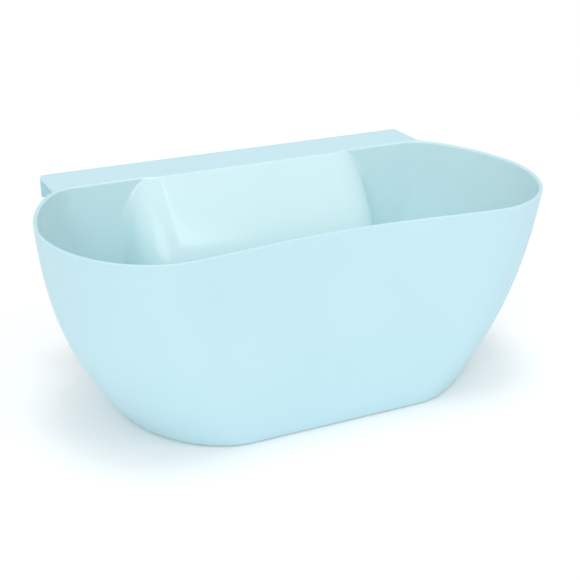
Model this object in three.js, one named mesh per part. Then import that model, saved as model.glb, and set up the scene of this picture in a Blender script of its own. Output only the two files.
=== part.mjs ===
// Hook-on feed bucket: a lobed, bowl-sided plastic tub that hangs from a rail, board or stall door
// by a wide channel moulded along the top of its back.
//
// Millimetres, +Z up. The long side lies along X. -Y is the open front, +Y the hanging side.
// The origin is under the middle of the whole bucket, on the surface that it stands on.
//
// The bucket is one moulding. Each of its members is a solid of its own here, with a hairline gap
// to its neighbours: base plate, four walls, three stretches of rim, hanger shelf and hanger lip.

import * as THREE from 'three';

// Driving dimensions
const TUB_LENGTH = 420;
const TUB_DEPTH = 200;
const HEIGHT = 168;
const WALL = 3.3;
const GAP = 0.3;

// The rim is a long oval with tighter corners at the back than at the front
const RIM_FRONT_CORNER = 82;
const RIM_FRONT_POWER = 2;
const RIM_BACK_CORNER = 50;
const RIM_BACK_POWER = 1.6;
// The front of the rim bows in at its middle, and the bow fades out towards the base
const WAIST_DEPTH = 11.2;
const WAIST_HALF_WIDTH = 145;

// The base is the same oval, drawn in
const BASE_HALF_LENGTH = 148;
const BASE_FRONT = -76.5;
const BASE_BACK = 88;
const BASE_MIDDLE = 8.4;
const BASE_FRONT_CORNER = 73;
const BASE_FRONT_POWER = 1.8;
const BASE_BACK_CORNER = 42;
const BASE_BACK_POWER = 2;
// Between the two, a wall leans evenly by its lean share and curves in, like a bowl, by the rest
const END_LEAN = 0.234;
const FRONT_LEAN = 0.93;
const BACK_LEAN = 0.23;
const BOWL_POWER = 2.57;

// The middle of the back leans into the tub as a flat panel, which leaves a hand recess behind it
const PANEL_HALF_WIDTH = 79;
const PANEL_SLOPE = THREE.MathUtils.degToRad(38);
const PANEL_START = 2.7;
const PANEL_DROP = 60;
const PANEL_BEND = 12;
const PANEL_EDGE_RADIUS = 30;
const FLANK_FOOT_RADIUS = 12;
const FLANK_ANGLE = THREE.MathUtils.degToRad(75);

// The hanger is a channel that opens downwards
const HANGER_HALF_LENGTH = 170;
const HANGER_BACK = 140;
const LIP_DROP = 19;

// How finely the outline and the height are stepped, on one half of the bucket
const FRONT_HALF_WIDTH = 130;
const BACK_HALF_WIDTH = 128;
const FRONT_STEPS = 7;
const END_FRONT_STEPS = 9;
const END_BACK_STEPS = 8;
const FLANK_STEPS = 8;
const PANEL_STEPS = 2;
const TIP_FLAT = 0.5;
const HEIGHT_STEPS = [0, 0.09, 0.18, 0.27, 0.35, 0.44, 0.56, 0.7, 0.82, 0.91, 1];

// Places along the outline, counted from the middle of the front round to the right. The left side
// has the same places with a minus.
const FRONT_END = FRONT_STEPS;
const TIP = FRONT_END + END_FRONT_STEPS;
const HANGER_END = TIP + 5;
const BACK_END = TIP + END_BACK_STEPS;
const BACK_MIDDLE = BACK_END + 1 + FLANK_STEPS + PANEL_STEPS;
const PLACES = 2 * BACK_MIDDLE;

const FRONT = -TUB_DEPTH / 2;

const blend = (from, to, share) => from + (to - from) * share;

// The share of its way in that a wall has gone at w, from 0 at the rim to 1 at the base
const drawnIn = (w, lean) => lean * w + (1 - lean) * w ** BOWL_POWER;

// How far the back panel stands in front of the back lobes, at a depth below the rim
function panelReach(depth) {
  const past = PANEL_BEND * Math.log(1 + Math.exp((depth - PANEL_DROP) / PANEL_BEND));
  return PANEL_START + Math.tan(PANEL_SLOPE) * (depth - past);
}

// The sizes of the tub's outline at a depth below the rim
function section(depth) {
  const w = depth / HEIGHT;
  const ends = drawnIn(w, END_LEAN);
  return {
    halfLength: blend(TUB_LENGTH / 2, BASE_HALF_LENGTH, ends),
    front: blend(FRONT, BASE_FRONT, drawnIn(w, FRONT_LEAN)),
    back: blend(-FRONT, BASE_BACK, drawnIn(w, BACK_LEAN)),
    middle: blend(0, BASE_MIDDLE, ends),
    frontCorner: blend(RIM_FRONT_CORNER, BASE_FRONT_CORNER, ends),
    frontPower: blend(RIM_FRONT_POWER, BASE_FRONT_POWER, w),
    backCorner: blend(RIM_BACK_CORNER, BASE_BACK_CORNER, w),
    backPower: blend(RIM_BACK_POWER, BASE_BACK_POWER, w),
    waist: WAIST_DEPTH * (1 - w) ** 2,
    reach: panelReach(depth),
  };
}

// 1 along the straight stretch of a side, falling to 0 at the end of the tub
function rounding(x, halfLength, corner, power) {
  const along = (Math.abs(x) - (halfLength - corner)) / corner;
  const u = THREE.MathUtils.clamp(along, 0, 1);
  return (1 - u ** power) ** (1 / power);
}

function frontY(x, s) {
  const round = rounding(x, s.halfLength, s.frontCorner, s.frontPower);
  const bow = Math.max(0, 1 - (x / WAIST_HALF_WIDTH) ** 2) ** 2;
  return s.middle - (s.middle - s.front) * round + s.waist * bow;
}

// The flank beside the panel, in plan: a rounded edge, a straight stretch and a rounded foot
function flank(reach) {
  const radii = PANEL_EDGE_RADIUS + FLANK_FOOT_RADIUS;
  const angle = Math.acos(Math.max(Math.cos(FLANK_ANGLE), 1 - reach / radii));
  const straight = (reach - radii * (1 - Math.cos(angle))) / Math.tan(angle);
  const edge = PANEL_EDGE_RADIUS * Math.sin(angle);
  return { angle, edge, straight, run: edge + straight + FLANK_FOOT_RADIUS * Math.sin(angle) };
}

// How far the back wall stands in front of the lobes at x
function panelForward(x, reach) {
  const run = Math.abs(x) - PANEL_HALF_WIDTH;
  const side = flank(reach);
  if (run <= 0) return reach;
  if (run >= side.run) return 0;
  if (run < side.edge) {
    return reach - PANEL_EDGE_RADIUS + Math.sqrt(PANEL_EDGE_RADIUS ** 2 - run ** 2);
  }
  if (run < side.edge + side.straight) {
    const edgeDrop = PANEL_EDGE_RADIUS * (1 - Math.cos(side.angle));
    return reach - edgeDrop - (run - side.edge) * Math.tan(side.angle);
  }
  return FLANK_FOOT_RADIUS - Math.sqrt(FLANK_FOOT_RADIUS ** 2 - (side.run - run) ** 2);
}

function backY(x, s) {
  const round = rounding(x, s.halfLength, s.backCorner, s.backPower);
  return s.middle + (s.back - s.middle) * round - panelForward(x, s.reach);
}

const evenSteps = (steps) => Array.from({ length: steps + 1 }, (_, i) => i / steps);
const steepSteps = (steps) => evenSteps(steps).map((t) => Math.sin((t * Math.PI) / 2));

// The tub's outer outline at a depth below the rim, anticlockwise from the middle of the front. It
// has the same places at every depth.
function outline(depth) {
  const s = section(depth);
  const run = flank(s.reach).run;
  const frontX = [
    ...evenSteps(FRONT_STEPS).map((t) => t * FRONT_HALF_WIDTH),
    ...steepSteps(END_FRONT_STEPS).slice(1).map((t) => blend(FRONT_HALF_WIDTH, s.halfLength, t)),
  ];
  const backX = [
    ...evenSteps(PANEL_STEPS).map((t) => t * PANEL_HALF_WIDTH),
    ...evenSteps(FLANK_STEPS).slice(1).map((t) => PANEL_HALF_WIDTH + t * run),
    ...steepSteps(END_BACK_STEPS).slice(0, -1).map((t) => blend(BACK_HALF_WIDTH, s.halfLength, t)),
  ];
  const right = [
    ...frontX.map((x) => new THREE.Vector2(x, frontY(x, s))),
    ...backX.reverse().map((x) => new THREE.Vector2(x, backY(x, s))),
  ];
  const left = right.slice(1, -1).reverse().map((p) => new THREE.Vector2(-p.x, p.y));
  return [...right, ...left];
}

// The outer and the inner outline at a depth. A leaning wall is thicker in plan than it is square
// to its face.
function rings(depth) {
  const outer = outline(depth);
  const lower = outline(depth + 1);
  const inner = outer.map((point, i) => {
    const before = outer.at(i - 1);
    const after = outer[(i + 1) % PLACES];
    const inward = new THREE.Vector2(before.y - after.y, after.x - before.x).normalize();
    const lean = lower[i].clone().sub(point).dot(inward);
    return point.clone().addScaledVector(inward, WALL * Math.hypot(1, lean));
  });
  return { outer, inner };
}

// The points of a ring from one place to another, with half a gap taken off each end
function stretch(ring, from, to) {
  const points = [];
  for (let i = from; i <= to; i += 1) points.push(ring.at(i % PLACES).clone());
  const nudge = (end, next) => end.add(next.clone().sub(end).setLength(GAP / 2));
  nudge(points[0], points[1]);
  nudge(points.at(-1), points.at(-2));
  return points;
}

// A closed solid through a row of bands. A band lies between its near edge and its far edge, which
// run the same way, far on the left when the next band is on top, with the same number of points on
// every edge. A face between two bands is split along its shorter diagonal, so that the ends of
// neighbouring solids match.
function stack(bands) {
  const steps = bands[0].near.length;
  const count = 2 * steps;
  const corners = bands.flatMap(({ near, far }) => [...near, ...far.toReversed()]);
  const triangles = [];
  const addFace = (a, b, c, d) => {
    const [ac, bd] = [corners[a].distanceTo(corners[c]), corners[b].distanceTo(corners[d])];
    if (ac < bd) triangles.push(a, b, c, a, c, d);
    else triangles.push(a, b, d, b, c, d);
  };
  for (let first = 0; first < corners.length - count; first += count) {
    for (let i = 0; i < count; i += 1) {
      const [a, b] = [first + i, first + ((i + 1) % count)];
      addFace(a, b, b + count, a + count);
    }
  }
  const top = corners.length - count;
  for (let i = 0; i < steps - 1; i += 1) {
    const across = count - 1 - i;
    addFace(i, across, across - 1, i + 1);
    addFace(top + i, top + i + 1, top + across - 1, top + across);
  }
  const geometry = new THREE.BufferGeometry();
  geometry.setFromPoints(corners);
  geometry.setIndex(triangles);
  geometry.computeVertexNormals();
  return geometry;
}

const atDepth = (points, depth) => points.map((p) => new THREE.Vector3(p.x, p.y, HEIGHT - depth));

// A stretch of the tub's wall between two places, cut flat at each depth
function wall(from, to, depths) {
  return stack(depths.map((depth) => {
    const [near, far] = [rings(depth).outer, rings(depth).inner];
    return {
      near: atDepth(stretch(near, from, to), depth),
      far: atDepth(stretch(far, from, to), depth),
    };
  }));
}

const plastic = new THREE.MeshStandardMaterial({ color: '#cbecf5', roughness: 0.35, metalness: 0 });

function member(name, geometry) {
  const mesh = new THREE.Mesh(geometry, plastic.clone());
  mesh.name = name;
  return mesh;
}

const basePlateDepths = [HEIGHT, HEIGHT - WALL];
const wallDepths = HEIGHT_STEPS.map((t) => blend(HEIGHT - WALL - GAP, WALL + GAP, t));
const rimDepths = [WALL, 0];

function basePlate() {
  const bands = basePlateDepths.map((depth) => {
    const s = section(depth);
    const flankEnd = PANEL_HALF_WIDTH + flank(s.reach).run;
    const right = [
      ...evenSteps(PANEL_STEPS).map((t) => t * PANEL_HALF_WIDTH),
      ...evenSteps(FLANK_STEPS).slice(1).map((t) => blend(PANEL_HALF_WIDTH, flankEnd, t)),
      ...steepSteps(END_BACK_STEPS).slice(1).map((t) => blend(flankEnd, s.halfLength - TIP_FLAT, t)),
    ];
    const across = [...right.slice(1).reverse().map((x) => -x), ...right];
    const edge = (side) => across.map((x) => new THREE.Vector3(x, side(x, s), HEIGHT - depth));
    return { near: edge(frontY), far: edge(backY) };
  });
  return member('base_plate', stack(bands));
}

// The shelf closes the top of the back wall and reaches back over the rail. It is built through four
// lines, from the inside of the tub backwards: the tub's edge, the front and the back of the
// channel's ceiling, and the rear.
function hangerShelf() {
  const ring = (from, depth) => stretch(rings(depth)[from], HANGER_END, PLACES - HANGER_END);
  const straight = (depth, y) => {
    const edge = ring('outer', depth);
    const spread = HANGER_HALF_LENGTH / edge[0].x;
    return edge.map((p) => new THREE.Vector2(p.x * spread, y));
  };
  const ceilingFront = (depth) => {
    return ring('outer', depth).map((p) => new THREE.Vector2(p.x, p.y + GAP));
  };
  const lines = [
    (depth) => ring('inner', depth),
    ceilingFront,
    (depth) => straight(depth, HANGER_BACK - WALL - GAP),
    (depth) => straight(depth, HANGER_BACK),
  ];
  const bands = lines.map((line) => ({
    near: atDepth(line(WALL), WALL),
    far: atDepth(line(0), 0),
  }));
  return member('hanger_shelf', stack(bands));
}

// The lip drops behind the rail and keeps the bucket on it
function hangerLip() {
  const drop = LIP_DROP - WALL - GAP;
  const lip = member('hanger_lip', new THREE.BoxGeometry(2 * HANGER_HALF_LENGTH, WALL, drop));
  lip.position.set(0, HANGER_BACK - WALL / 2, HEIGHT - WALL - GAP - drop / 2);
  return lip;
}

// The tub is drawn about the middle of its own rim, and then moved to centre the whole bucket
const frontEdge = Math.min(...outline(0).map((point) => point.y));
const tub = new THREE.Group();
tub.position.y = -(frontEdge + HANGER_BACK) / 2;
tub.add(
  basePlate(),
  member('front_wall', wall(-FRONT_END, FRONT_END, wallDepths)),
  member('right_end_wall', wall(FRONT_END, BACK_END, wallDepths)),
  member('left_end_wall', wall(-BACK_END, -FRONT_END, wallDepths)),
  member('back_panel', wall(BACK_END, PLACES - BACK_END, wallDepths)),
  member('front_rim', wall(-FRONT_END, FRONT_END, rimDepths)),
  member('right_rim', wall(FRONT_END, HANGER_END, rimDepths)),
  member('left_rim', wall(-HANGER_END, -FRONT_END, rimDepths)),
  hangerShelf(),
  hangerLip(),
);

const feedBucket = new THREE.Group();
feedBucket.add(tub);

export default feedBucket;
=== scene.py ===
# %% [markdown]
# # A hook-on feed bucket
#
# The bucket is a lobed, bowl-sided tub of pale blue plastic. Along the top of its back it carries a
# wide channel that hooks over a rail or a stall door. The whole thing is one injection moulding.
#
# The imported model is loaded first. It fixes every size and place, so all that follows is measured
# from it, in metres, with +Z up and the open front towards -Y.

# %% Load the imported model
import math
from types import SimpleNamespace

import bmesh
import bpy
import numpy as np
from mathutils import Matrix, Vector


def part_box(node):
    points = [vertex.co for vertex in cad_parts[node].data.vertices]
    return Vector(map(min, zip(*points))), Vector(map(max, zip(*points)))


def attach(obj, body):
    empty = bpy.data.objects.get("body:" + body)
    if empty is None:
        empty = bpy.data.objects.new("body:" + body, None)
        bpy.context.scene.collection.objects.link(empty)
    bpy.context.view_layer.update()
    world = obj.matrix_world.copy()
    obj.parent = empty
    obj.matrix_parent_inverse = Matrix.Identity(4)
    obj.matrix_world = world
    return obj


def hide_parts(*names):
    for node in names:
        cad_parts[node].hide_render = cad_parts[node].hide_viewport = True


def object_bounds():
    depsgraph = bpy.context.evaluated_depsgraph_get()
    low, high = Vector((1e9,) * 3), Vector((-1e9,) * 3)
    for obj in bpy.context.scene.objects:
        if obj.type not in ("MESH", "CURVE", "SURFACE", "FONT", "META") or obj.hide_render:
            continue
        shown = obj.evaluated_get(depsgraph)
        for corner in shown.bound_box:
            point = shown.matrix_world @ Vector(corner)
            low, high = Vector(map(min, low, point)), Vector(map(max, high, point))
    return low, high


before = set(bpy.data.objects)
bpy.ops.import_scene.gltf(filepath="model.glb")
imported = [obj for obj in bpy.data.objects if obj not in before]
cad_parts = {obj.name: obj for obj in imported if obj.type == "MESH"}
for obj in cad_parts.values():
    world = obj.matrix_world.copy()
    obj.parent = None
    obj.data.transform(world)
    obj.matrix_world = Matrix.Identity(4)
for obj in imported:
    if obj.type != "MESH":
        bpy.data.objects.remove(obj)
cad_low, cad_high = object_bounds()
length, height = cad_high.x - cad_low.x, cad_high.z - cad_low.z
print(f"the packed bucket is {length * 1000:.0f} mm long and {height * 1000:.0f} mm high")

# %% [markdown]
# ## The camera
#
# A product is usually shown from a little above and to one side, with a long lens that keeps its
# upright lines nearly parallel. The camera is placed first, because it decides which surfaces need
# the most care. It stands on a sphere round the point that it looks at, so two angles and a
# distance in bucket lengths describe it fully.

# %% Place the camera
MM = 0.001
TUB_MIDDLE_TO_REAR = 140 * MM
tub_middle = cad_high.y - TUB_MIDDLE_TO_REAR

AZIMUTH, ELEVATION = math.radians(-25.511), math.radians(22.861)
DISTANCE = 2.3446 * length
towards_camera = Vector((
    math.sin(AZIMUTH) * math.cos(ELEVATION),
    -math.cos(AZIMUTH) * math.cos(ELEVATION),
    math.sin(ELEVATION),
))
target = Vector((-0.01534 * length, tub_middle, height - 0.19206 * length))

camera_data = bpy.data.cameras.new("product_camera")
camera_data.sensor_width = 36
camera_data.lens = 74.74
camera = bpy.data.objects.new("product_camera", camera_data)
camera.location = target + towards_camera * DISTANCE
camera.rotation_euler = towards_camera.to_track_quat("Z", "Y").to_euler()
bpy.context.scene.collection.objects.link(camera)
bpy.context.scene.camera = camera
print("the camera is", round((camera.location - target).length, 3), "m from the bucket")

# %% [markdown]
# ## The tub's outline at any depth
#
# The tub has no straight extrusion in it. Its rim is a long oval whose front bows in at the middle,
# and its base is a smaller oval. The ends curve in like a bowl, and the back leans into the tub as a
# flat panel with rounded edges, which leaves room for fingers behind it.
#
# Such a form could be sculpted or patched from many curves, but a maker draws it as a stack of
# sections. So one function gives the outline at a depth below the rim, and the tub is built by
# laying rings of edges on it.

# %% Sizes of the tub
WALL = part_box("base_plate")[1].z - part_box("base_plate")[0].z
RIM = SimpleNamespace(half_length=length / 2, half_depth=100 * MM, front_corner=82 * MM,
                      front_power=2.0, back_corner=50 * MM, back_power=1.6)
BASE = SimpleNamespace(half_length=148 * MM, front=-76.5 * MM, back=88 * MM, middle=8.4 * MM,
                       front_corner=73 * MM, front_power=1.8, back_corner=42 * MM, back_power=2.0)
WAIST_DEPTH, WAIST_HALF_WIDTH = 11.2 * MM, 145 * MM
# How much of each wall's way in is an even lean. The rest curves in with this power of the depth.
END_LEAN, FRONT_LEAN, BACK_LEAN, BOWL_POWER = 0.234, 0.93, 0.23, 2.57
print(f"the wall is {WALL * 1000:.1f} mm thick")

# %% Sizes of the back panel
PANEL_HALF_WIDTH = 79 * MM
PANEL_SLOPE = math.tan(math.radians(38))
PANEL_START = 2.7 * MM
PANEL_DROP, PANEL_BEND = 60 * MM, 12 * MM
PANEL_EDGE, FLANK_FOOT = 30 * MM, 12 * MM
FLANK_ANGLE = math.radians(75)


def panel_reach(depth):
    """How far the panel stands in front of the lobes beside it."""
    past = PANEL_BEND * math.log(1 + math.exp((depth - PANEL_DROP) / PANEL_BEND))
    return PANEL_START + PANEL_SLOPE * (depth - past)


print(f"the panel stands {panel_reach(height) * 1000:.0f} mm in front of the lobes at the base")


# %% The section at a depth
def blend(start, end, share):
    return start + (end - start) * share


def drawn_in(share_down, lean):
    return lean * share_down + (1 - lean) * share_down ** BOWL_POWER


def section(depth):
    """The sizes of the outline at a depth below the rim."""
    down = depth / height
    ends = drawn_in(down, END_LEAN)
    return SimpleNamespace(
        half_length=blend(RIM.half_length, BASE.half_length, ends),
        front=blend(-RIM.half_depth, BASE.front, drawn_in(down, FRONT_LEAN)),
        back=blend(RIM.half_depth, BASE.back, drawn_in(down, BACK_LEAN)),
        middle=blend(0, BASE.middle, ends),
        front_corner=blend(RIM.front_corner, BASE.front_corner, ends),
        front_power=blend(RIM.front_power, BASE.front_power, down),
        back_corner=blend(RIM.back_corner, BASE.back_corner, down),
        back_power=blend(RIM.back_power, BASE.back_power, down),
        waist=WAIST_DEPTH * (1 - down) ** 2,
        reach=panel_reach(depth),
    )


for depth in (0, height / 2, height):
    print(f"{depth * 1000:5.0f} mm down, half the length is {section(depth).half_length * 1000:.0f} mm")


# %% The front and back lines of a section
def rounding(x, half_length, corner, power):
    """1 along the straight stretch of a side, falling to 0 at the end of the tub."""
    along = np.clip((np.abs(x) - (half_length - corner)) / corner, 0, 1)
    return (1 - along ** power) ** (1 / power)


def flank(reach):
    """The panel's side in plan: a rounded edge, a straight stretch and a rounded foot."""
    radii = PANEL_EDGE + FLANK_FOOT
    angle = math.acos(max(math.cos(FLANK_ANGLE), 1 - reach / radii))
    straight = (reach - radii * (1 - math.cos(angle))) / math.tan(angle)
    edge = PANEL_EDGE * math.sin(angle)
    run = edge + straight + FLANK_FOOT * math.sin(angle)
    return SimpleNamespace(angle=angle, edge=edge, straight=straight, run=run)


def panel_forward(x, reach):
    side = flank(reach)
    run = np.clip(np.abs(x) - PANEL_HALF_WIDTH, 0, side.run)
    on_edge = reach - PANEL_EDGE + np.sqrt(PANEL_EDGE ** 2 - np.minimum(run, side.edge) ** 2)
    edge_drop = PANEL_EDGE * (1 - math.cos(side.angle))
    on_straight = reach - edge_drop - (run - side.edge) * math.tan(side.angle)
    from_end = np.minimum(side.run - run, FLANK_FOOT)
    on_foot = FLANK_FOOT - np.sqrt(FLANK_FOOT ** 2 - from_end ** 2)
    past_edge = np.where(run < side.edge + side.straight, on_straight, on_foot)
    return np.where(run < side.edge, on_edge, past_edge)


def front_y(x, s):
    bow = np.maximum(0, 1 - (x / WAIST_HALF_WIDTH) ** 2) ** 2
    shape = rounding(x, s.half_length, s.front_corner, s.front_power)
    return s.middle - (s.middle - s.front) * shape + s.waist * bow


def back_y(x, s):
    shape = rounding(x, s.half_length, s.back_corner, s.back_power)
    return s.middle + (s.back - s.middle) * shape - panel_forward(x, s.reach)


print(f"the front bows in by {WAIST_DEPTH * 1000:.1f} mm at the rim")

# %% [markdown]
# ## Places round the ring
#
# Every ring has the same number of places, counted from the middle of the front round to the right.
# They crowd together where the outline turns sharply. Because place 12 of one ring is always above
# place 12 of the next, the edges between them run cleanly down the wall, and light slides over it
# without a wobble.

# %% Lay the places on an outline
FRONT_STEPS, FRONT_END_STEPS, LOBE_STEPS, FLANK_STEPS, PANEL_STEPS = 22, 26, 21, 22, 8
HALF_PLACES = FRONT_STEPS + FRONT_END_STEPS + LOBE_STEPS + FLANK_STEPS + PANEL_STEPS
PLACES = 2 * HALF_PLACES


def eased(steps):
    """Shares from 0 to 1 that crowd together towards the end."""
    return np.sin(np.linspace(0, math.pi / 2, steps + 1))


def outline(depth):
    """The corner points of the ring at a depth, anticlockwise from the middle of the front."""
    if depth < 0:  # above the rim, the wall goes on as it leans at the rim
        return 2 * outline(0) - outline(-depth)
    s = section(depth)
    corner_start = s.half_length - s.front_corner
    flank_end = PANEL_HALF_WIDTH + flank(s.reach).run
    front_x = np.concatenate([
        np.linspace(0, corner_start, FRONT_STEPS + 1),
        blend(corner_start, s.half_length, eased(FRONT_END_STEPS))[1:],
    ])
    back_x = np.concatenate([
        np.linspace(0, PANEL_HALF_WIDTH, PANEL_STEPS + 1),
        np.linspace(PANEL_HALF_WIDTH, flank_end, FLANK_STEPS + 1)[1:],
        blend(flank_end, s.half_length, eased(LOBE_STEPS))[1:-1],
    ])[::-1]
    x = np.concatenate([front_x, back_x])
    y = np.concatenate([front_y(front_x, s), back_y(back_x, s)])
    x, y = np.concatenate([x, -x[-2:0:-1]]), np.concatenate([y, y[-2:0:-1]])
    return np.stack([x, y + tub_middle, np.full(PLACES, height - depth)], axis=1)


print("each ring has", len(outline(0)), "places")

# %% [markdown]
# ## From a circle to a tub
#
# The modelling starts from a circle. It is settled onto the rim's outline, and then its edge is
# extruded downwards, ring by ring, with each new ring settled onto the outline at its own depth.
# The first ring lies a little above the rim, because the wall is thickened square to its surface
# and its top edge then needs to be cut flat.


# %% Small helpers for working in edit mode
def only(piece):
    """Makes a piece the only one selected, and the active one."""
    bpy.ops.object.select_all(action="DESELECT")
    piece.select_set(True)
    bpy.context.view_layer.objects.active = piece


def pick(piece, kind, test):
    """In edit mode, selects just the vertices, edges or faces that pass a test."""
    bpy.ops.mesh.select_mode(type=kind)
    bpy.ops.mesh.select_all(action="DESELECT")
    shape = bmesh.from_edit_mesh(piece.data)
    shape.normal_update()
    elements = {"VERT": shape.verts, "EDGE": shape.edges, "FACE": shape.faces}[kind]
    picked = [element for element in elements if test(element)]
    for element in picked:
        element.select_set(True)
    shape.select_flush_mode()
    bmesh.update_edit_mesh(piece.data)
    return len(picked)


# %% Start with a circle on the rim
bpy.ops.object.select_all(action="DESELECT")
bpy.ops.mesh.primitive_circle_add(
    vertices=PLACES, radius=length / 2, location=(0, tub_middle, height)
)
moulding = bpy.context.object
moulding.name = "moulding"
bpy.ops.object.transform_apply(location=True, rotation=True, scale=True)

place = moulding.data.attributes.new("place", "INT", "POINT")
for vertex, number in zip(moulding.data.vertices, place.data):
    turn = math.atan2(vertex.co.x, tub_middle - vertex.co.y) / math.tau
    number.value = round(turn * PLACES) % PLACES
print("the circle has", len(moulding.data.vertices), "vertices, each with a place of its own")

# %% Extrude the wall downwards
SPARE_TOP = 6 * MM
SAW_DEPTH = 2 * WALL
LOWEST_STEP = 12 * MM
EVEN_RINGS = 34
depths = [-SPARE_TOP, *np.linspace(SAW_DEPTH, height - LOWEST_STEP, EVEN_RINGS), height]


def settle(piece, depth):
    """Moves the selected ring onto the outline at a depth."""
    points = outline(depth)
    shape = bmesh.from_edit_mesh(piece.data)
    number = shape.verts.layers.int["place"]
    for vertex in shape.verts:
        if vertex.select:
            vertex.co = points[vertex[number]]
    bmesh.update_edit_mesh(piece.data)


bpy.ops.object.mode_set(mode="EDIT")
bpy.ops.mesh.select_all(action="SELECT")
settle(moulding, depths[0])
for above, below in zip(depths, depths[1:]):
    drop = {"value": (0, 0, above - below)}
    bpy.ops.mesh.extrude_edges_move(TRANSFORM_OT_translate=drop)
    settle(moulding, below)
bpy.ops.mesh.edge_face_add()
bpy.ops.mesh.select_all(action="SELECT")
bpy.ops.mesh.normals_make_consistent(inside=False)
bpy.ops.object.mode_set(mode="OBJECT")
print("the thin shell has", len(moulding.data.polygons), "faces")

# %% [markdown]
# ## Wall thickness
#
# The real wall is equally thick all over, because plastic that cools unevenly warps. Solidify gives
# the sheet that thickness, inwards, so the outside keeps its size. The spare top is then sawn off
# level with the rim, and the two cut edges are bridged.
#
# The moulding has two finishes: satin outside, where the steel mould was textured, and glossy
# inside, where it was polished so that the tub slides off. Solidify can put the second finish on
# the faces that it makes, so both slots are there before it runs. The level top of the rim is
# moulded on the outside's steel, so it is made satin again after the bridge.

# %% Thicken the wall and level the rim
for name in ("satin", "glossy"):
    moulding.data.materials.append(bpy.data.materials.new(name))
SATIN, GLOSSY = 0, 1

thicken = moulding.modifiers.new("wall", "SOLIDIFY")
thicken.thickness = WALL
thicken.offset = -1
thicken.use_even_offset = True
thicken.use_quality_normals = True
thicken.material_offset = GLOSSY
only(moulding)
bpy.ops.object.modifier_apply(modifier=thicken.name)

bpy.ops.object.mode_set(mode="EDIT")
bpy.ops.mesh.select_all(action="SELECT")
bpy.ops.mesh.bisect(plane_co=(0, 0, height), plane_no=(0, 0, 1), clear_outer=True)
pick(moulding, "EDGE", lambda edge: edge.is_boundary)
bpy.ops.mesh.bridge_edge_loops()
pick(moulding, "FACE", lambda face: face.calc_center_median().z > height - 0.01 * MM)
moulding.active_material_index = SATIN
bpy.ops.object.material_slot_assign()
bpy.ops.object.mode_set(mode="OBJECT")
print("the thick shell has", len(moulding.data.polygons), "faces")

# %% [markdown]
# ## The hanger
#
# The hanger is not glued on. The rim simply grows out backwards as a shelf, turns down behind the
# rail as a lip, and so makes a channel that is open below. It is extruded from the faces of the rim
# itself, in the same way as the plastic flows, after a cut marks off the shelf's thickness on them.
# The first few short steps narrow a little, which rounds the inner corner where the shelf leaves
# the rim.

# %% Extrude the shelf from the rim
hanger_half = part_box("hanger_lip")[1].x
lip_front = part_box("hanger_lip")[0].y
lip_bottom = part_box("hanger_lip")[0].z
rear = cad_high.y
EPSILON = 0.05 * MM
foot_place = FRONT_STEPS + FRONT_END_STEPS + LOBE_STEPS - LOBE_STEPS // 2
foot_half = outline(0)[foot_place][0]


def behind_the_rim(face):
    """True for the outside faces of the wall, behind the tub, that reach up to the rim."""
    middle = face.calc_center_median()
    reaches_up = max(vertex.co.z for vertex in face.verts) > height - EPSILON
    return reaches_up and face.normal.y > 0.3 and middle.y > 0 and abs(middle.x) < foot_half


def extrude(offset):
    bpy.ops.mesh.extrude_region_move(TRANSFORM_OT_translate={"value": offset})


bpy.ops.object.mode_set(mode="EDIT")
pick(moulding, "FACE", behind_the_rim)
bpy.ops.mesh.bisect(plane_co=(0, 0, height - WALL), plane_no=(0, 0, 1))
found = pick(moulding, "FACE", behind_the_rim)

# The inner corner is an arc that starts along the rim and ends straight backwards
ahead, behind = outline(0)[foot_place - 1], outline(0)[foot_place + 1]
rim_heading = math.atan2(behind[1] - ahead[1], ahead[0] - behind[0])
FOOT_STEPS = 5
foot_radius = (foot_half - hanger_half) / (1 - math.sin(rim_heading))
headings = np.linspace(rim_heading, math.pi / 2, FOOT_STEPS + 1)
half_before = foot_half
for start, end in zip(headings, headings[1:]):
    extrude((0, foot_radius * (math.cos(start) - math.cos(end)), 0))
    half = foot_half - foot_radius * (math.sin(end) - math.sin(rim_heading))
    bpy.ops.transform.resize(value=(half / half_before, 1, 1), center_override=(0, 0, height))
    half_before = half
print(f"the inner corner has a radius of {foot_radius * 1000:.1f} mm")
print("the shelf grows from", found, "faces of the rim")

# %% Turn the shelf down into the lip
for line in (lip_front, rear):
    extrude((0, WALL, 0))
    bpy.ops.transform.resize(value=(1, 0, 1), center_override=(0, line, 0))


def under_the_rear_edge(face):
    middle = face.calc_center_median()
    return face.normal.z < -0.9 and lip_front < middle.y < rear and middle.z > height - 2 * WALL


found = pick(moulding, "FACE", under_the_rear_edge)
extrude((0, 0, lip_bottom - (height - WALL)))
bpy.ops.object.mode_set(mode="OBJECT")
print("the lip drops from", found, "faces, to", round(lip_bottom * 1000), "mm above the base")

# %% [markdown]
# ## Edges, fillets and foot
#
# Nothing moulded has a sharp edge. The edge of the rim is rounded so that it can't cut a muzzle or a
# hand. The edge of the base has a small radius, and the corner between wall and floor a larger one,
# so that feed doesn't lodge in it. The bottom is a shallow recess inside a narrow foot, which stops
# the bucket rocking if the floor of the moulding bows.


# %% Round the edges
def is_sharp(edge, smallest=40):
    return len(edge.link_faces) == 2 and edge.calc_face_angle() > math.radians(smallest)


def lies_at(edge, z):
    return all(abs(vertex.co.z - z) < EPSILON for vertex in edge.verts)


def is_top_edge(edge):
    return lies_at(edge, height) and is_sharp(edge)


def is_inside(edge):
    return any(face.material_index == GLOSSY for face in edge.link_faces)


def round_edges(name, test, radius, segments):
    found = pick(moulding, "EDGE", test)
    bpy.ops.mesh.bevel(offset=radius, segments=segments, profile=0.5, affect="EDGES",
                       clamp_overlap=False, miter_outer="SHARP", material=-1)
    print(f"{name}: {found} edges rounded to {radius * 1000:.1f} mm")


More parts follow.
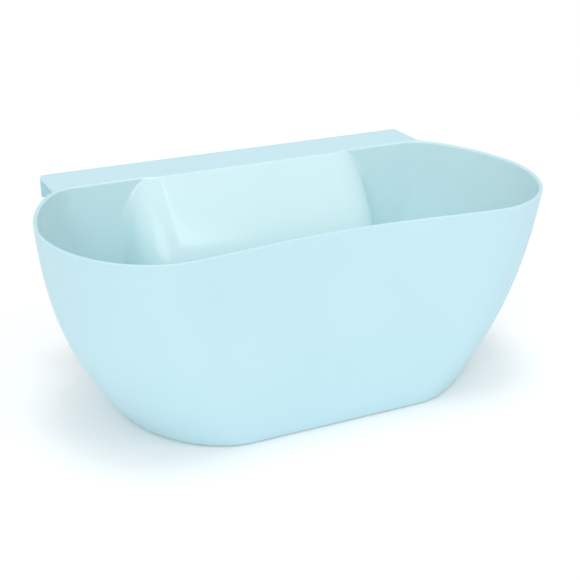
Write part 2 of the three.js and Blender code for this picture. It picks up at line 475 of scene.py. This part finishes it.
INNER_RIM_RADIUS, OUTER_RIM_RADIUS, LIP_RADIUS = 1.8 * MM, 1.2 * MM, 1.3 * MM
BASE_RADIUS, FLOOR_RADIUS = 2.6 * MM, 8 * MM
# A corner between a leaning wall and the level floor turns by less than one at the rim
LOW_CORNER = 20

bpy.ops.object.mode_set(mode="EDIT")
round_edges("inner rim", lambda edge: is_top_edge(edge) and is_inside(edge), INNER_RIM_RADIUS, 5)
round_edges("outer rim and shelf", is_top_edge, OUTER_RIM_RADIUS, 4)
round_edges("lip", lambda edge: lies_at(edge, lip_bottom) and is_sharp(edge), LIP_RADIUS, 4)
round_edges("base", lambda edge: lies_at(edge, 0) and is_sharp(edge, LOW_CORNER), BASE_RADIUS, 5)
round_edges("floor", lambda edge: lies_at(edge, WALL) and is_sharp(edge, LOW_CORNER), FLOOR_RADIUS, 8)
bpy.ops.object.mode_set(mode="OBJECT")

# %% Sink the underside
FOOT_WIDTH, RECESS_DEPTH = 5 * MM, 1 * MM
bpy.ops.object.mode_set(mode="EDIT")
pick(moulding, "FACE", lambda face: face.normal.z < -0.99 and face.calc_area() > 0.01)
bpy.ops.mesh.inset(thickness=FOOT_WIDTH)
bpy.ops.mesh.inset(thickness=RECESS_DEPTH, depth=-RECESS_DEPTH)
bpy.ops.object.mode_set(mode="OBJECT")
print("the moulding has", len(moulding.data.polygons), "faces")

# %% [markdown]
# ## From one moulding to named pieces
#
# The plastic is one body, but its makers and users speak of the tub, the rim and the hanger. Three
# copies of the moulding are sawn along flat planes, and each keeps its own share. The cuts are
# closed and meet face to face, so they don't show.


# %% Saw the moulding into pieces
def sawn(name, *cuts):
    """A copy of the moulding with what lies beyond each cut, along its arrow, taken away."""
    only(moulding)
    bpy.ops.object.duplicate()
    piece = bpy.context.object
    piece.name = piece.data.name = name
    bpy.ops.object.mode_set(mode="EDIT")
    for point, arrow in cuts:
        bpy.ops.mesh.select_all(action="SELECT")
        bpy.ops.mesh.bisect(plane_co=point, plane_no=arrow, use_fill=True, clear_outer=True)
    open_edges = pick(piece, "EDGE", lambda edge: not edge.is_manifold)
    bpy.ops.object.mode_set(mode="OBJECT")
    print(f"{name}: {len(piece.data.polygons)} faces, {open_edges} open edges")
    return piece


UP, DOWN, FRONTWARDS, BACKWARDS = (0, 0, 1), (0, 0, -1), (0, -1, 0), (0, 1, 0)
below_rim = (0, 0, height - SAW_DEPTH)
hanger_root = (0, outline(0)[foot_place][1] - 0.5 * MM, 0)
tub_shell = sawn("tub_shell", (below_rim, UP))
rim = sawn("rim", (below_rim, DOWN), (hanger_root, BACKWARDS))
hanger = sawn("hanger", (below_rim, DOWN), (hanger_root, FRONTWARDS))
only(moulding)
bpy.ops.object.delete()
pieces = {"tub": tub_shell, "rim": rim, "hanger": hanger}

# %% Smooth the pieces
for piece in pieces.values():
    only(piece)
    bpy.ops.object.shade_smooth_by_angle(angle=math.radians(35))
    weights = piece.modifiers.new("flat_faces_stay_flat", "WEIGHTED_NORMAL")
    weights.keep_sharp = True
    bpy.ops.object.modifier_apply(modifier=weights.name)
    print(piece.name, "is smooth, with", len(piece.data.polygons), "faces")

# %% [markdown]
# ## The plastic
#
# The bucket is polypropylene, a slightly waxy plastic, coloured through with a pale blue pigment. It
# is injected hot into a steel mould and takes on every detail of the steel. The pigment is never
# perfectly even, and a thin wall is never perfectly flat, so a very slight drift of colour and a
# long, shallow waviness are what makes the eye read it as plastic and not as paint.


# %% Colours and nodes
def to_linear(code):
    """An sRGB hex colour as linear red, green, blue and alpha."""
    channels = [int(code[i:i + 2], 16) / 255 for i in (1, 3, 5)]
    return [c / 12.92 if c <= 0.04045 else ((c + 0.055) / 1.055) ** 2.4 for c in channels] + [1]


def add(tree, kind, settings=(), links=()):
    """Adds a node. A setting is an input's name or number, or a property of the node."""
    node = tree.nodes.new(kind)
    for name, value in dict(settings).items():
        if isinstance(name, int) or name in node.inputs:
            node.inputs[name].default_value = value
        else:
            setattr(node, name, value)
    for name, source in dict(links).items():
        tree.links.new(source, node.inputs[name])
    return node


print("pale blue is", [round(c, 3) for c in to_linear("#CBECF5")])


# %% Moulded polypropylene
DRIFT_SIZE = 60 * MM
WAVE_SIZE, WAVE_HEIGHT = 45 * MM, 0.05 * MM
POLYPROPYLENE_IOR = 1.49
ROUGHNESS_SPREAD = 0.04


def moulded_polypropylene(name, pigment, drifted_pigment, roughness, shine, grain, grain_height):
    """Through-coloured polypropylene, with the texture that a mould of that grain leaves."""
    material = bpy.data.materials.new(name)
    material.use_nodes = True
    tree = material.node_tree
    shader = tree.nodes["Principled BSDF"]
    shader.inputs["IOR"].default_value = POLYPROPYLENE_IOR
    shader.inputs["Specular IOR Level"].default_value = shine
    here = add(tree, "ShaderNodeTexCoord").outputs["Object"]
    drift = add(tree, "ShaderNodeTexNoise", {"Scale": 1 / DRIFT_SIZE, "Detail": 3.0}, {"Vector": here})
    colour = add(tree, "ShaderNodeMix",
                 {"data_type": "RGBA", 6: to_linear(pigment), 7: to_linear(drifted_pigment)},
                 {0: drift.outputs["Fac"]})
    specks = add(tree, "ShaderNodeTexNoise", {"Scale": 1 / grain, "Detail": 2.0}, {"Vector": here})
    dullness = {"To Min": roughness - ROUGHNESS_SPREAD, "To Max": roughness + ROUGHNESS_SPREAD}
    sheen = add(tree, "ShaderNodeMapRange", dullness, {"Value": specks.outputs["Fac"]})
    waves = add(tree, "ShaderNodeTexNoise", {"Scale": 1 / WAVE_SIZE, "Detail": 1.0}, {"Vector": here})
    wavy = add(tree, "ShaderNodeBump", {"Distance": WAVE_HEIGHT}, {"Height": waves.outputs["Fac"]})
    grainy = add(tree, "ShaderNodeBump", {"Distance": grain_height},
                 {"Height": specks.outputs["Fac"], "Normal": wavy.outputs["Normal"]})
    tree.links.new(colour.outputs[2], shader.inputs["Base Color"])
    tree.links.new(sheen.outputs["Result"], shader.inputs["Roughness"])
    tree.links.new(grainy.outputs["Normal"], shader.inputs["Normal"])
    return material


# Spark erosion leaves grains of about 0.1 mm in the steel, too fine to show, so they are drawn
# coarser. They break up every reflection, which gives the outside its satin look.
satin = moulded_polypropylene(
    "satin_moulded_polypropylene", "#BFE1EA", "#C4E4ED", 0.42, 0.12, 0.7 * MM, 0.012 * MM
)
# The core of the mould is polished, so reflections inside the tub have clear edges. The inside's
# pigment is painted paler than the outside's: painted light that stands in for light soaking through
# the thin wall.
glossy = moulded_polypropylene(
    "polished_polypropylene_painted_paler", "#CFEBEF", "#D3EDF1", 0.16, 0.4, 1.5 * MM, 0.003 * MM
)
for piece in pieces.values():
    piece.data.materials[SATIN] = satin
    piece.data.materials[GLOSSY] = glossy
print("two finishes of", satin.name.split("_")[-1])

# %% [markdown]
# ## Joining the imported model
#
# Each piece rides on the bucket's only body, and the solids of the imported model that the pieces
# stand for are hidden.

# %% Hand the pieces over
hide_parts("base_plate", "front_wall", "left_end_wall", "right_end_wall", "back_panel")
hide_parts("front_rim", "left_rim", "right_rim")
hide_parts("hanger_shelf", "hanger_lip")
for name, piece in pieces.items():
    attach(piece, "root")
print("the pieces stand for", len(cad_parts), "solids")

# %% [markdown]
# ## The studio
#
# The bucket stands on a pale sweep in even white light. A broad light from the front left and one
# from straight above shape it softly. A narrow strip to the right gives the glossy inside its one
# clear reflection, along the rounded edge of the back panel.

# %% Floor and light
bpy.ops.object.select_all(action="DESELECT")
bpy.ops.mesh.primitive_plane_add(size=14)
floor = bpy.context.object
floor.name = "studio_floor"
floor.data.materials.append(bpy.data.materials.new("matt_studio_paper"))
paper = floor.data.materials[0]
paper.use_nodes = True
paper.node_tree.nodes["Principled BSDF"].inputs["Base Color"].default_value = to_linear("#FDFDFD")
paper.node_tree.nodes["Principled BSDF"].inputs["Roughness"].default_value = 0.9

world = bpy.data.worlds.new("studio")
world.use_nodes = True
world.node_tree.nodes["Background"].inputs["Color"].default_value = (1, 1, 1, 1)
world.node_tree.nodes["Background"].inputs["Strength"].default_value = 0.75
bpy.context.scene.world = world
bpy.context.scene.view_settings.view_transform = "Standard"


def light_from(name, kind, azimuth, elevation, distance, energy):
    """A light that faces the bucket from a direction given in degrees."""
    a, e = math.radians(azimuth), math.radians(elevation)
    away = Vector((math.sin(a) * math.cos(e), -math.cos(a) * math.cos(e), math.sin(e)))
    data = bpy.data.lights.new(name, kind)
    data.energy = energy
    light = bpy.data.objects.new(name, data)
    light.location = Vector((0, 0, height / 2)) + away * distance
    light.rotation_euler = away.to_track_quat("Z", "Y").to_euler()
    bpy.context.scene.collection.objects.link(light)
    return data


light_from("front_light", "SUN", -33, 30, 2, 0.66).angle = math.radians(35)
light_from("top_light", "SUN", 0, 88, 2, 0.62).angle = math.radians(18)
strip = light_from("strip_light", "AREA", 22, 48, 1.6, 1.4)
strip.shape, strip.size, strip.size_y = "RECTANGLE", 0.1, 0.8

# %% [markdown]
# ## The packed size
#
# The finished bucket has to fill the same box as the imported model, so that box is printed.

# %% Print the packed box
print("packed", [round(v * 1000, 2) for v in (*cad_low, *cad_high)])
